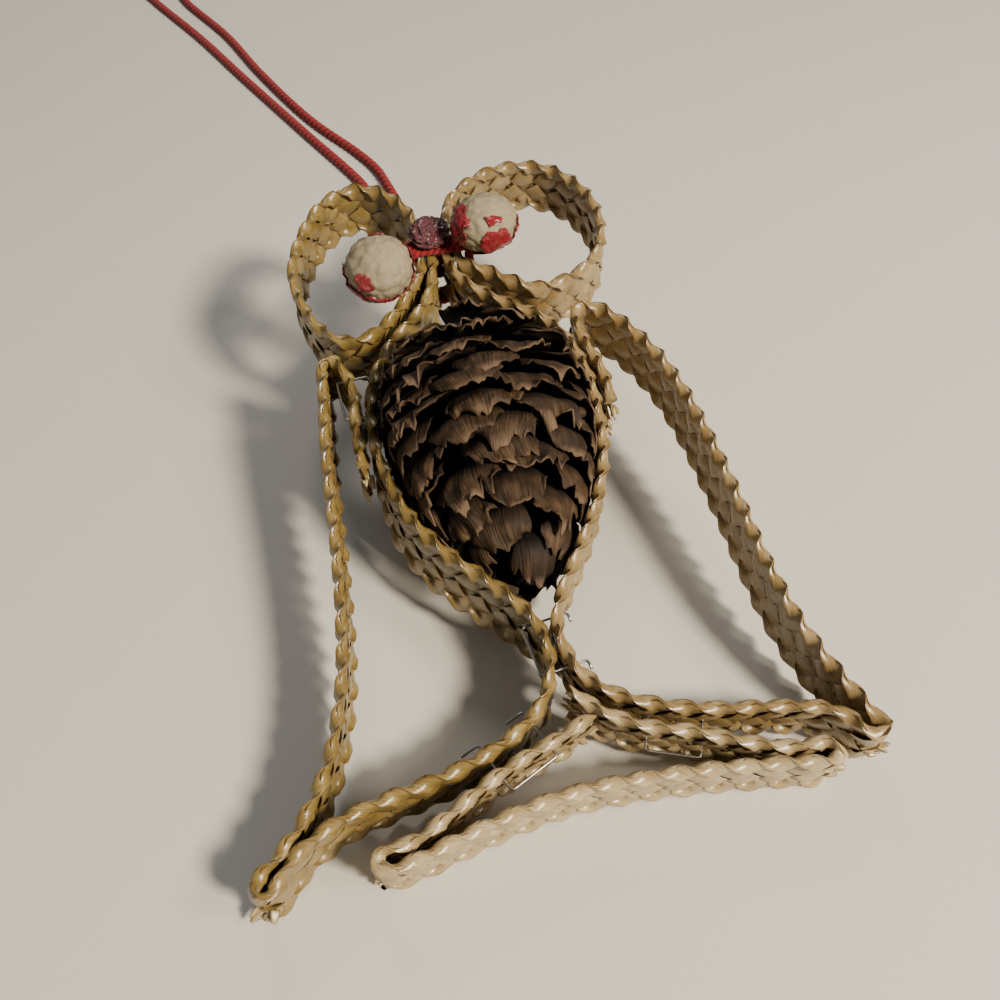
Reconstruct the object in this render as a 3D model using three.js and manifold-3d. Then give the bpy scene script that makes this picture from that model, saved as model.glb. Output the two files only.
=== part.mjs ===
// Straw ornament: an owl-like figure of flat plaited straw bands standing on edge, bent round a
// spruce cone, with two loops for the head, two wings and a tail. The bands are bound at the neck
// with red yarn, under a bead of glue and two worn artificial berries, and stapled where they meet.
// It lies on a table: the cone and the wing and tail tips touch the table, the head end is raised,
// and the red thread it hangs by lies on the table beyond the head.
// Millimetres, +Z up, table at Z = 0, the head towards +Y.
import * as THREE from 'three';
import { mergeVertices } from 'three/addons/utils/BufferGeometryUtils.js';
import Module from 'manifold-3d';

const wasm = await Module();
wasm.setup();

// ---- driving dimensions ----
const BAND_WIDTH = 12.5; // plait, edge to edge
const BAND_THICK = 2.2; // plait, face to face
const STITCH = 5.5; // length of one plump straw turn on the plait's edge
const FOLD_GAP = 2.75; // centre to centre of the two legs at a sharp fold
const GAP = 0.3; // clearance kept between pieces that touch
const LEAN = THREE.MathUtils.degToRad(11.4); // how far the figure's plane is raised at the head
const NECK = { x: 0.5, y: 60, width: 12, height: 13.7, yarn: 1.2 }; // inside of the yarn winding
const CONE = { x: 1, stem: 43, length: 66, radius: 24.1, rows: 10, scales: 8 };
const BERRY = { radius: 7.1, neck: 2.4 };
const GLUE = { x: -0.9, y: 62.2, width: 9.4, length: 9.2, height: 4.4 };
const STAPLE = { crown: 9.4, wire: 0.5 };
const THREAD = 2.6; // hanging thread, diameter

// ---- materials ----
const finish = (color, roughness, metalness = 0) =>
  new THREE.MeshStandardMaterial({ color, roughness, metalness });
const goldenStraw = finish('#b3945a', 0.4);
const paleStraw = finish('#c6b288', 0.4);
const coneScale = finish('#4a3526', 0.85);
const foamCore = finish('#c9c8b8', 0.75);
const driedGlue = finish('#6a2430', 0.25);
const redYarn = finish('#a8242c', 0.9);
const steel = finish('#9a9a98', 0.3, 1);

// ---- solids ----
// Rings of points, one after another along a route, joined into one closed skin. A hoop joins its
// last ring to its first one; anything else is capped at both ends.
function skin(rings, hoop = false) {
  const around = rings[0].length;
  const spans = hoop ? rings.length : rings.length - 1;
  const faces = [];
  for (let i = 0; i < spans; i += 1) {
    const here = i * around;
    const next = ((i + 1) % rings.length) * around;
    for (let k = 0; k < around; k += 1) {
      const k2 = (k + 1) % around;
      faces.push(here + k, here + k2, next + k2, here + k, next + k2, next + k);
    }
  }
  const last = (rings.length - 1) * around;
  for (let k = 1; k + 1 < around && !hoop; k += 1) {
    faces.push(0, k + 1, k, last, last + k, last + k + 1);
  }
  const geometry = new THREE.BufferGeometry().setFromPoints(rings.flat());
  geometry.setIndex(faces);
  return geometry;
}

function merged(geometry) {
  const bare = geometry.clone();
  bare.deleteAttribute('normal');
  bare.deleteAttribute('uv');
  return mergeVertices(bare, 1e-4);
}

function solid(geometry) {
  const joined = merged(geometry);
  const vertProperties = new Float32Array(joined.attributes.position.array);
  const triVerts = new Uint32Array(joined.index.array);
  return new wasm.Manifold(new wasm.Mesh({ numProp: 3, vertProperties, triVerts }));
}

// Slivers that a cut or a join leaves, thinner than this, are closed up.
const SLIVER = 0.06;
function geometryOf(manifold) {
  const mesh = manifold.simplify(SLIVER).getMesh();
  const geometry = new THREE.BufferGeometry();
  geometry.setAttribute('position', new THREE.BufferAttribute(mesh.vertProperties, 3));
  geometry.setIndex(new THREE.BufferAttribute(mesh.triVerts, 1));
  return geometry;
}

// ---- the routes of the plaited bands, in the figure's plane ----
// Each point is where the band's upper edge runs, with the slant of the band in degrees where it
// doesn't stand upright.
// A half circle of three points goes round a sharp fold: side 1 turns left, side -1 turns right.
function fold(x, y, headingDegrees, side) {
  return [-90, 0, 90].map((turn) => {
    const angle = THREE.MathUtils.degToRad(headingDegrees + side * turn);
    return [x + (FOLD_GAP / 2) * Math.cos(angle), y + (FOLD_GAP / 2) * Math.sin(angle)];
  });
}

const routes = {
  left_loop: [
    [-2.4, 60.8], [-2.5, 68], [-4.6, 76], [-9.5, 81.7], [-16, 83.3], [-22.5, 79.5], [-28, 71], [-31, 61.5],
    [-30.2, 53], [-27.2, 44.8], [-22.5, 40.6], [-17, 41.2], [-11.5, 45.8], [-7.2, 51], [-3.9, 56.4],
    [-3.65, 60.3],
  ],
  right_loop: [
    [3.4, 60.8], [3.6, 67.5], [5.6, 74], [10.5, 79], [17, 82], [24, 82.3], [30.3, 79.7], [34.8, 74.5],
    [37.3, 67.5], [37.2, 60.5], [34.8, 53.5], [30.5, 49], [25, 46.4], [19.5, 45.7], [14.5, 48.6],
    [9.4, 53], [5, 56.6], [4.65, 60.3],
  ],
  left_side_plait: [
    [-0.9, 60.3], [-1.9, 54], [-4.6, 47.6], [-8.6, 42.8], [-13.4, 38.3], [-17.9, 31.5], [-20.5, 24],
    [-21.3, 16.5], [-20.3, 8, 5], [-17.8, -2, 10], [-12.5, -11.5, 12], [-5.5, -19.8, 12], [-1, -26.4, 8],
    [0.5, -32], [-0.2, -38], [-4, -43.6], [-11.5, -48], [-21, -50.7], [-30.5, -52.2], [-39, -54],
    [-46, -57.6],
    ...fold(-51.5, -61.2, 213, -1),
    [-48.2, -56.6], [-43.8, -52], [-39.6, -45.5], [-36.4, -37.5], [-34.2, -28.5], [-32.8, -18], [-31.9, -7],
    [-31.2, 5], [-30.4, 17], [-29.2, 28],
    ...fold(-26.7, 35.6, 78, -1),
    [-23.9, 31.5], [-23.2, 26.5], [-23.9, 21.5], [-24.2, 16], [-24.3, 9.8],
  ],
  right_side_plait: [
    [1.9, 60.3], [3.2, 53.5], [6.5, 48.4], [12.3, 42.8], [18.4, 37.3], [21.9, 30], [23.2, 21.5], [22.8, 12],
    [20.9, 2], [16.7, -7.6], [11.2, -16], [6.2, -23], [3.5, -28.6], [3.4, -34], [5.2, -39.3], [9.8, -44],
    [16.6, -47.5], [26, -50.4], [36, -52.4], [44.5, -55.2],
    ...fold(49.9, -59.2, -32, 1),
    [49, -54], [46.2, -46], [44, -37], [43, -27], [42.6, -16], [42.1, -4], [41.2, 8], [39.3, 19.5],
    [36, 28.5], [31.6, 35.6], [28.6, 38.2], [25.8, 38], [24.6, 35],
    [24.9, 29.5], [26.1, 23.5], [26.4, 18.5], [25.8, 13.6],
  ],
  tail_plait: [
    [2.6, -42], [6.6, -46.3], [12.2, -50], [20, -53], [27.5, -56.4], [34.5, -59],
    ...fold(41, -61.4, -12, -1),
    [35, -61.8], [27, -60.4], [18, -59.2], [8, -58.3], [-2, -58.1], [-12, -59.2], [-21, -60.9],
    [-27.5, -62.3],
    ...fold(-32.6, -61.4, 188, -1),
    [-27.5, -59.5], [-21, -56.6], [-14, -53.2], [-6.5, -50.4], [-1, -48.8], [4, -46.9],
  ],
};

function curveOf(route) {
  const points = route.map(([x, y]) => new THREE.Vector3(x, y, 0));
  const curve = new THREE.CatmullRomCurve3(points, false, 'centripetal');
  curve.arcLengthDivisions = 2000;
  return curve;
}

function slantAt(route, curve, u) {
  const place = curve.getUtoTmapping(u) * (route.length - 1);
  const before = Math.min(Math.floor(place), route.length - 2);
  const [, , from = 0] = route[before];
  const [, , to = 0] = route[before + 1];
  return THREE.MathUtils.degToRad(THREE.MathUtils.lerp(from, to, place - before));
}

// One band: a flat plait swept along its route. Its edges are scalloped, each straw turning over
// them in a plump lozenge, and its faces are raised and sunk by turns, one face against the other.
function plait(route) {
  const curve = curveOf(route);
  const steps = Math.round(curve.getLength() / (STITCH / 2));
  const half = BAND_WIDTH / 2;
  const plump = { edge: half + 0.25, thick: BAND_THICK * 0.5 };
  const pinched = { edge: half - 0.35, thick: BAND_THICK * 0.3 };
  const raised = BAND_THICK * 0.5;
  const sunk = BAND_THICK * 0.36;
  const column = half * 0.36;
  const rings = [];
  for (let i = 0; i <= steps; i += 1) {
    const at = curve.getPointAt(i / steps);
    const along = curve.getTangentAt(i / steps);
    const side = new THREE.Vector3(along.y, -along.x, 0);
    const slant = Math.tan(slantAt(route, curve, i / steps));
    const [upper, lower] = i % 2 ? [plump, pinched] : [pinched, plump];
    const [high, low] = i % 2 ? [sunk, raised] : [raised, sunk];
    const section = [
      [upper.thick, upper.edge],
      [high, column],
      [low, -column],
      [lower.thick, -lower.edge],
      [-lower.thick, -lower.edge],
      [-high, -column],
      [-low, column],
      [-upper.thick, upper.edge],
    ];
    rings.push(section.map(([out, up]) =>
      at.clone().addScaledVector(side, out + (half - up) * slant).setZ(up)));
  }
  return skin(rings);
}

// ---- staples ----
// A staple lies with its crown on one band and its legs through that band and the next, their ends
// bent over. The crown runs along the heading, the legs point to its left (side 1) or right (-1).
const staples = {
  staple_left_leg: { x: -26.1, y: 27.6, up: 3.2, heading: 92, side: -1, reach: 6.4, hook: -1.6 },
  staple_junction: { x: -2.2, y: -32.8, up: 3.6, heading: 97, side: -1, reach: 8.6, hook: -1.8 },
  staple_left_wing: { x: -6.6, y: -52.9, up: 2.4, heading: 24, side: 1, reach: 9.4, hook: -3.4 },
  staple_right_wing: { x: 17.2, y: -54.3, up: -1.2, heading: -21, side: 1, reach: 9, hook: -1.8 },
};

function staplePoints({ x, y, up, heading, side, reach, hook }) {
  const angle = THREE.MathUtils.degToRad(heading);
  const along = new THREE.Vector3(Math.cos(angle), Math.sin(angle), 0);
  const inwards = new THREE.Vector3(-Math.sin(angle), Math.cos(angle), 0).multiplyScalar(side);
  const place = (run, deep) =>
    new THREE.Vector3(x, y, up).addScaledVector(along, run).addScaledVector(inwards, deep);
  const arm = STAPLE.crown / 2;
  return [
    place(-arm + hook, reach), place(-arm, reach), place(-arm, 0),
    place(arm, 0), place(arm, reach), place(arm + hook, reach),
  ];
}

// Square wire through flat corners, each corner mitred.
function wire(points, width) {
  const upright = new THREE.Vector3(0, 0, width / 2);
  return skin(points.map((point, i) => {
    const before = points[Math.max(i - 1, 0)];
    const after = points[Math.min(i + 1, points.length - 1)];
    const arriving = (i ? point.clone().sub(before) : after.clone().sub(point)).normalize();
    const leaving = (i + 1 < points.length ? after.clone().sub(point) : arriving.clone()).normalize();
    const across = new THREE.Vector3(-arriving.y - leaving.y, arriving.x + leaving.x, 0).normalize();
    const square = new THREE.Vector3(-arriving.y, arriving.x, 0);
    across.multiplyScalar(width / 2 / across.dot(square));
    return [
      point.clone().add(across).add(upright), point.clone().sub(across).add(upright),
      point.clone().sub(across).sub(upright), point.clone().add(across).sub(upright),
    ];
  }));
}

// ---- spruce cone ----
function coneRadius(t) {
  return CONE.radius * Math.pow(Math.sin(Math.PI * Math.pow(t, 0.85)), 0.65);
}

// The two bands hold the cone between them, so its scales are pressed in where the gap narrows.
function bandX(curve, y) {
  for (let u = 0; u < 0.5; u += 0.002) {
    const point = curve.getPointAt(u);
    if (point.y <= y) return point.x;
  }
  return CONE.x;
}

function pressedIn(point, left, right) {
  const room = BAND_THICK / 2 + GAP;
  const lowest = bandX(left, point.y) + room;
  const highest = bandX(right, point.y) - room;
  const middle = (lowest + highest) / 2;
  const half = Math.max((highest - lowest) / 2, 0.5);
  const share = (point.x - middle) / half;
  const x = middle + (half * share) / Math.pow(1 + Math.pow(Math.abs(share), 4), 1 / 4);
  return new THREE.Vector3(x, point.y, point.z);
}

// The cone is one skin of rings. Each row of scales has a ring in its throat, one over its bellies
// and one along its edges, which overhang the next throat. Tips and valleys take turns round a row,
// three points to a scale, and every second row is turned by half a scale.
function scaleRow(row) {
  const pitch = 0.94 / CONE.rows;
  const around = CONE.scales * 3;
  return [[0, 0.74, 0], [0.5, 0.93, 0.04], [1.1, 0.94, 0.07]].map(([run, share, rise], ring) => {
    const places = [];
    for (let k = 0; k < around; k += 1) {
      const tip = (k + 2 * (row % 2)) % 3 === 0 ? 1 : 0;
      const uneven = Math.sin(2.4 * row + 1.9 * Math.floor(k / 3) + ring);
      const t = Math.min(0.03 + pitch * (row + run + ring * 0.15 * tip + 0.06 * uneven), 0.99);
      const out = coneRadius(t) * (share + rise * tip + 0.02 * uneven * tip);
      const angle = ((k + 0.5 * (row % 2)) / around) * 2 * Math.PI;
      places.push(new THREE.Vector3(
        CONE.x - out * Math.sin(angle), CONE.stem - t * CONE.length, out * Math.cos(angle)));
    }
    return places;
  });
}

function ringOfStem(radius, y) {
  const around = CONE.scales * 3;
  return Array.from({ length: around }, (_, k) => {
    const angle = (k / around) * 2 * Math.PI;
    return new THREE.Vector3(CONE.x - radius * Math.sin(angle), y, radius * Math.cos(angle));
  });
}

// Its underside is pressed flat where it would go below the table.
function coneSkin(left, right, toTable) {
  const rings = [ringOfStem(2.4, CONE.stem + 2.5), ringOfStem(2.8, CONE.stem)];
  for (let row = 0; row < CONE.rows; row += 1) rings.push(...scaleRow(row));
  rings.push(ringOfStem(1, CONE.stem - CONE.length));
  const fromTable = toTable.clone().invert();
  return skin(rings.map((ring) => ring.map((point) => {
    const place = pressedIn(point, left, right).applyMatrix4(toTable);
    place.z = Math.max(place.z, 0);
    return place.applyMatrix4(fromTable);
  })));
}

// ---- neck: yarn winding, glue, berries ----
// Four turns of yarn wound round the six plait ends, drawn together as one ribbed hoop.
function winding() {
  const corner = 0.8;
  const crest = NECK.yarn;
  const valley = NECK.yarn * 0.7;
  const ribs = [[0, -2.7], [valley, -2.6], [crest, -2], [valley, -1.35], [crest, -0.7], [valley, 0],
    [crest, 0.7], [valley, 1.35], [crest, 2], [valley, 2.6], [0, 2.7]];
  const rings = [];
  for (const [sx, sz, start] of [[1, 1, 0], [-1, 1, 90], [-1, -1, 180], [1, -1, 270]]) {
    for (const turn of [0, 45, 90]) {
      const angle = THREE.MathUtils.degToRad(start + turn);
      const out = new THREE.Vector3(Math.cos(angle), 0, Math.sin(angle));
      const centre = new THREE.Vector3(
        NECK.x + sx * (NECK.width / 2 - corner), NECK.y, sz * (NECK.height / 2 - corner));
      rings.push(ribs.map(([proud, run]) =>
        centre.clone().addScaledVector(out, corner + proud).setY(NECK.y + run)));
    }
  }
  return skin(rings, true);
}

function glueBead() {
  const bead = merged(new THREE.IcosahedronGeometry(1, 2));
  const place = bead.attributes.position;
  for (let i = 0; i < place.count; i += 1) {
    const p = new THREE.Vector3().fromBufferAttribute(place, i);
    const lump = 1 + 0.1 * Math.sin(5 * p.x + 1) * Math.sin(4 * p.y + 2) + 0.06 * Math.sin(7 * p.z + 3 * p.x);
    place.setXYZ(i, p.x * lump * GLUE.width / 2, p.y * lump * GLUE.length / 2,
      Math.max(p.z * lump, -0.75) * GLUE.height / 2);
  }
  const bottom = NECK.height / 2 + NECK.yarn + GAP;
  return bead.translate(GLUE.x, GLUE.y, bottom + 0.75 * GLUE.height / 2);
}

// A berry: a crushed foam ball drawn out into a short neck of skin towards the glue.
const berries = {
  left_berry: { x: -13.2, y: 51.8, z: 13, neckLength: 4.8 },
  right_berry: { x: 10.4, y: 58.2, z: 14.2, neckLength: 1.8 },
};

function berry({ x, y, z, neckLength }) {
  const profile = [new THREE.Vector2(0, -BERRY.radius * 0.96)];
  for (let angle = -66; angle <= 66; angle += 22) {
    const a = THREE.MathUtils.degToRad(angle);
    profile.push(new THREE.Vector2(BERRY.radius * Math.cos(a), BERRY.radius * 0.96 * Math.sin(a)));
  }
  profile.push(new THREE.Vector2(BERRY.neck * 0.7, BERRY.radius + neckLength - 0.6));
  profile.push(new THREE.Vector2(0, BERRY.radius + neckLength));
  const towards = new THREE.Vector3(GLUE.x - x, GLUE.y - y, -2.4).normalize();
  const turn = new THREE.Quaternion().setFromUnitVectors(new THREE.Vector3(0, 1, 0), towards);
  return new THREE.LatheGeometry(profile, 12).applyQuaternion(turn).translate(x, y, z);
}

// ---- the figure, built flat in its plane and then leaned ----
const figure = new THREE.Group();
function piece(name, geometry, material, parent = figure) {
  const mesh = new THREE.Mesh(geometry, material);
  mesh.name = name;
  parent.add(mesh);
  return mesh;
}

for (const [name, route] of Object.entries(routes)) {
  let band = solid(plait(route));
  for (const staple of Object.values(staples)) {
    band = band.subtract(solid(wire(staplePoints(staple), STAPLE.wire + 2 * GAP)));
  }
  piece(name, geometryOf(band), name === 'tail_plait' ? paleStraw : goldenStraw);
}
for (const [name, staple] of Object.entries(staples)) {
  piece(name, wire(staplePoints(staple), STAPLE.wire), steel);
}
piece('yarn_binding', winding(), redYarn);
piece('glue_bead', glueBead(), driedGlue);
for (const [name, place] of Object.entries(berries)) piece(name, berry(place), foamCore);

figure.rotation.x = LEAN;
figure.updateMatrixWorld(true);
figure.position.z = -new THREE.Box3().setFromObject(figure, true).min.z;
figure.updateMatrixWorld(true);

const sides = [curveOf(routes.left_side_plait), curveOf(routes.right_side_plait)];
piece('spruce_cone', coneSkin(...sides, figure.matrixWorld), coneScale);

// The origin is under the middle of the figure.
const ornament = new THREE.Group();
const middle = new THREE.Box3().setFromObject(figure, true).getCenter(new THREE.Vector3());
figure.position.x = -middle.x;
figure.position.y = -middle.y;
ornament.add(figure);

// ---- hanging thread ----
// One thread tied in at the neck. It drops between the two loops to the table, runs out along it,
// turns and comes back beside itself. Where no height is given it lies on the table.
const threadRoute = [
  [1.1, 49.5, 33], [1.1, 56, 32.6], [0.9, 63, 31], [-0.3, 70, 27.2], [-1.2, 77, 21.5], [-1.6, 85, 14.4],
  [-2, 94, 7.8], [-2.8, 104, 3.2], [-4, 115, 1.5], [-6, 128], [-8.6, 140], [-12.3, 150.5], [-19.2, 167.9],
  [-26.5, 186.8], [-39.9, 221.9], [-52.8, 256.6], [-69, 295.4], [-73.2, 307],
  [-73.1, 311.3], [-70, 314.2], [-65.7, 314.1], [-62.8, 311],
  [-57.2, 291.3], [-43.2, 255.6], [-33.3, 222.1], [-19.3, 182.5], [-7, 157], [-2.8, 146], [-0.8, 134.8],
  [1, 122], [2.2, 110, 1.5], [2.9, 99, 3.2], [3.2, 88, 7.8], [3.3, 79, 14], [2.7, 71, 20.6], [1.8, 64, 25.4],
  [1.2, 57, 28.4], [1.1, 50.2, 29.4],
];

function cord(route, diameter) {
  const onTable = diameter / 2 + 0.05;
  const points = route.map(([x, y, z = onTable]) => new THREE.Vector3(x, y, z));
  const extrudePath = new THREE.CatmullRomCurve3(points, false, 'centripetal');
  const ring = new THREE.Path().absarc(0, 0, diameter / 2, 0, 2 * Math.PI).getSpacedPoints(8);
  const steps = Math.round(extrudePath.getLength() / (3 * diameter));
  const shape = new THREE.Shape(ring.slice(0, 8));
  return merged(new THREE.ExtrudeGeometry(shape, { steps, extrudePath }));
}

piece('hanging_thread', cord(threadRoute, THREAD), redYarn, ornament);

export default ornament;
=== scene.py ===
import math
import random

import bmesh
import bpy
import numpy as np
from mathutils import Matrix, Vector, noise


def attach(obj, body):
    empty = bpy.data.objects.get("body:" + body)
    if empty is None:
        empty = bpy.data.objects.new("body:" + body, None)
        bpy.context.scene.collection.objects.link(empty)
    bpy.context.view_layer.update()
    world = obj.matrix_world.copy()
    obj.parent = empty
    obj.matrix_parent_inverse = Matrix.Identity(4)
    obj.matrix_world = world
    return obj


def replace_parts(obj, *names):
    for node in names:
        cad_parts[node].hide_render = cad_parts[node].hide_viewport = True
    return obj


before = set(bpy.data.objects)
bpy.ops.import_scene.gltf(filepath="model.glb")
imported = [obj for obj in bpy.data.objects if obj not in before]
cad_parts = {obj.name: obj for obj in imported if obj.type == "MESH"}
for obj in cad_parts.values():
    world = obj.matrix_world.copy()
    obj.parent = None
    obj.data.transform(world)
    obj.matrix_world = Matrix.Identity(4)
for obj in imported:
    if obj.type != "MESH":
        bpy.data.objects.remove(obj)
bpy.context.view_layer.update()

# ---- camera ----
# A camera held by hand, about 0.2 m from the figure. It looks down on the table from in front of the
# tail, a little to the left and slightly rolled.
camera = bpy.data.objects.new("camera", bpy.data.cameras.new("camera"))
camera.data.lens = 36
camera.data.sensor_width = 36
camera.data.clip_start = 0.01
ahead = Vector((0.11502, 0.64817, -0.75276)).normalized()
rightwards = Vector((0.97318, -0.22551, -0.04547)).normalized()
upwards = rightwards.cross(ahead).normalized()
turned = Matrix((rightwards, upwards, -ahead)).transposed().to_4x4()
camera.matrix_world = Matrix.Translation((-0.021603, -0.134738, 0.163769)) @ turned
bpy.context.scene.collection.objects.link(camera)
bpy.context.scene.camera = camera


# ---- hanging thread ----
# Two-ply red knitting yarn, tied in at the neck. It drops to the table between the two loops of the
# head, lies loosely along it, turns and comes back beside itself. The route is in millimetres.
MM = 0.001
THREAD = 2.6 * MM
PLY_TURN = 4.9 * MM  # one whole turn of the two plies
thread_route = [
    (1.1, 49.5, 33), (1.1, 56, 32.6), (0.9, 63, 31), (-0.3, 70, 27.2), (-1.2, 77, 21.5),
    (-1.6, 85, 14.4), (-2, 94, 7.8), (-2.8, 104, 3.2), (-4, 115, 1.5), (-6, 128, 1.35),
    (-8.6, 140, 1.35), (-12.3, 150.5, 1.35), (-19.2, 167.9, 1.35), (-26.5, 186.8, 1.35),
    (-39.9, 221.9, 1.35), (-52.8, 256.6, 1.35), (-69, 295.4, 1.35), (-73.2, 307, 1.35),
    (-73.1, 311.3, 1.35), (-70, 314.2, 1.35), (-65.7, 314.1, 1.35), (-62.8, 311, 1.35),
    (-57.2, 291.3, 1.35), (-43.2, 255.6, 1.35), (-33.3, 222.1, 1.35), (-19.3, 182.5, 1.35),
    (-7, 157, 1.35), (-2.8, 146, 1.35), (-0.8, 134.8, 1.35), (1, 122, 1.35), (2.2, 110, 1.5),
    (2.9, 99, 3.2), (3.2, 88, 7.8), (3.3, 79, 14), (2.7, 71, 20.6), (1.8, 64, 25.4),
    (1.2, 57, 28.4), (1.1, 50.2, 29.4),
]


def smooth_route(points, per_span=24):
    """Close points on a centripetal Catmull-Rom curve, and how far along the list each one is."""
    p = np.array(points, float)
    p = np.vstack([2 * p[0] - p[1], p, 2 * p[-1] - p[-2]])
    w = np.linspace(0, 1, per_span, endpoint=False)[:, None]
    curve = []
    places = []
    for i in range(1, len(p) - 2):
        a, b, c, d = p[i - 1 : i + 3]
        before, here, after = (np.sqrt(np.linalg.norm(q - r)) for q, r in ((b, a), (c, b), (d, c)))
        start = here * ((b - a) / before - (c - a) / (before + here) + (c - b) / here)
        end = here * ((c - b) / here - (d - b) / (here + after) + (d - c) / after)
        cube = 2 * b - 2 * c + start + end
        square = 3 * c - 3 * b - 2 * start - end
        curve.append(b + start * w + square * w**2 + cube * w**3)
        places.extend(i - 1 + w[:, 0])
    return np.vstack([*curve, p[-2]]), np.array([*places, len(p) - 3.0])


def evenly(curve, step):
    """The curve again with its points a step apart, and how far along it each one is."""
    run = np.concatenate([[0], np.cumsum(np.linalg.norm(np.diff(curve, axis=0), axis=1))])
    along = np.linspace(0, run[-1], max(int(round(run[-1] / step)), 2) + 1)
    return np.column_stack([np.interp(along, run, axis) for axis in curve.T]), along


def mesh_piece(name, points, faces, material, along=None, across=None):
    """A smooth mesh with two sets of surface coordinates: along the piece, and across it."""
    mesh = bpy.data.meshes.new(name)
    mesh.from_pydata([tuple(p) for p in points], [], faces)
    mesh.validate()
    corners = np.array([loop.vertex_index for loop in mesh.loops])
    for title, values in (("along", along), ("across", across)):
        if values is not None:
            layer = mesh.uv_layers.new(name=title)
            layer.data.foreach_set("uv", np.array(values, np.float32)[corners].ravel())
    mesh.polygons.foreach_set("use_smooth", [True] * len(mesh.polygons))
    mesh.materials.append(material)
    piece = bpy.data.objects.new(name, mesh)
    bpy.context.scene.collection.objects.link(piece)
    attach(piece, "root")
    return piece


def tube_faces(rings, around, first=0):
    """Faces of a capped tube of rings of points, each ring with so many points."""
    faces = []
    for i in range(rings - 1):
        here = first + i * around
        for k in range(around):
            k2 = (k + 1) % around
            faces.append((here + k, here + k2, here + around + k2, here + around + k))
    last = first + (rings - 1) * around
    faces.append(tuple(first + k for k in reversed(range(around))))
    faces.append(tuple(last + k for k in range(around)))
    return faces


def upright_frames(path):
    """A direction sideways and one upwards at each point of a path, turned as little as can be."""
    tangents = np.gradient(path, axis=0)
    tangents /= np.linalg.norm(tangents, axis=1)[:, None]
    side = np.cross(tangents[0], (0.0, 0.0, 1.0))
    if np.linalg.norm(side) < 0.1:
        side = np.array((1.0, 0.0, 0.0))
    sides = []
    for tangent in tangents:
        side = side - tangent * np.dot(side, tangent)
        side = side / np.linalg.norm(side)
        sides.append(side)
    return tangents, np.array(sides), np.cross(sides, tangents)


def two_ply(route, diameter, turn, wobble=0.04, around=14):
    """Points, faces and surface coordinates of yarn of two twisted plies along a route."""
    path, run = evenly(route, turn / 12)
    _, sides, ups = upright_frames(path)
    points, along, across = [], [], []
    for i, centre in enumerate(path):
        twist = 2 * math.pi * run[i] / turn
        swell = 1 + wobble * noise.noise(Vector((run[i] / MM / 3, diameter / MM, 0)))
        for k in range(around):
            angle = 2 * math.pi * k / around
            lobe = abs(math.cos(angle - twist)) ** 0.8
            radius = diameter / 2 * (0.74 + 0.26 * lobe) * swell
            points.append(centre + radius * (math.cos(angle) * sides[i] + math.sin(angle) * ups[i]))
            along.append((run[i] / MM, (angle - twist) / (2 * math.pi)))
            # How far out on its ply: the yarn's painted shade darkens the valleys between the plies by
            # this.
            across.append((lobe, 0))
    return points, tube_faces(len(path), around), along, across


def linear(colour):
    """An sRGB hex colour as linear red, green, blue and alpha."""
    parts = [int(colour[i : i + 2], 16) / 255 for i in (1, 3, 5)]
    return tuple(c / 12.92 if c <= 0.04045 else ((c + 0.055) / 1.055) ** 2.4 for c in parts) + (1.0,)


def material_of(name):
    """A new material: its node tree, its shader and itself."""
    material = bpy.data.materials.new(name)
    material.use_nodes = True
    return material.node_tree, material.node_tree.nodes["Principled BSDF"], material


def add(tree, kind, inputs, **settings):
    """One more node, with its settings and with its inputs linked or given."""
    node = tree.nodes.new(kind)
    for key, value in settings.items():
        setattr(node, key, value)
    for socket, value in inputs.items():
        if isinstance(value, bpy.types.NodeSocket):
            tree.links.new(value, node.inputs[socket])
        else:
            node.inputs[socket].default_value = value
    return node


# Dyed wool yarn, spun: matt, with the fine fibres of each ply lying along its twist, and painted shade:
# the red is darker in the valleys where the plies meet.
tree, shader, red_yarn = material_of("red wool yarn, spun")
places = add(tree, "ShaderNodeUVMap", {}, uv_map="along").outputs["UV"]
valley = add(tree, "ShaderNodeUVMap", {}, uv_map="across").outputs["UV"]
fibres = add(tree, "ShaderNodeMapping", {"Vector": places, "Scale": (1.2, 22, 1)})
hairs = add(tree, "ShaderNodeTexNoise", {"Vector": fibres.outputs["Vector"], "Scale": 1, "Detail": 6})
# Painted shade: how far out on its ply a point lies darkens the red towards the valleys between the
# plies.
depth = add(tree, "ShaderNodeSeparateXYZ", {"Vector": valley})
mixed = add(tree, "ShaderNodeMath", {0: depth.outputs["X"], 1: hairs.outputs["Fac"]},
            operation="MULTIPLY")
dye_and_valley_shade = add(tree, "ShaderNodeValToRGB", {"Fac": mixed.outputs[0]})
dye_and_valley_shade.color_ramp.elements[0].position = 0.08
dye_and_valley_shade.color_ramp.elements[0].color = linear("#4a0c10")
dye_and_valley_shade.color_ramp.elements[1].position = 0.62
dye_and_valley_shade.color_ramp.elements[1].color = linear("#b01c20")
dye_and_valley_shade.color_ramp.elements.new(0.32).color = linear("#8a1015")
relief = add(tree, "ShaderNodeBump", {"Height": hairs.outputs["Fac"], "Strength": 0.7,
                                      "Distance": 0.0003})
tree.links.new(dye_and_valley_shade.outputs["Color"], shader.inputs["Base Color"])
tree.links.new(relief.outputs["Normal"], shader.inputs["Normal"])
shader.inputs["Roughness"].default_value = 0.85
shader.inputs["Sheen Weight"].default_value = 0.08
shader.inputs["Sheen Roughness"].default_value = 0.5

thread_curve = smooth_route([tuple(MM * c for c in point) for point in thread_route])[0]
points, faces, along, across = two_ply(thread_curve, THREAD, PLY_TURN)
thread = mesh_piece("hanging_yarn", points, faces, red_yarn, along, across)
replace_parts(thread, "hanging_thread")


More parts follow.
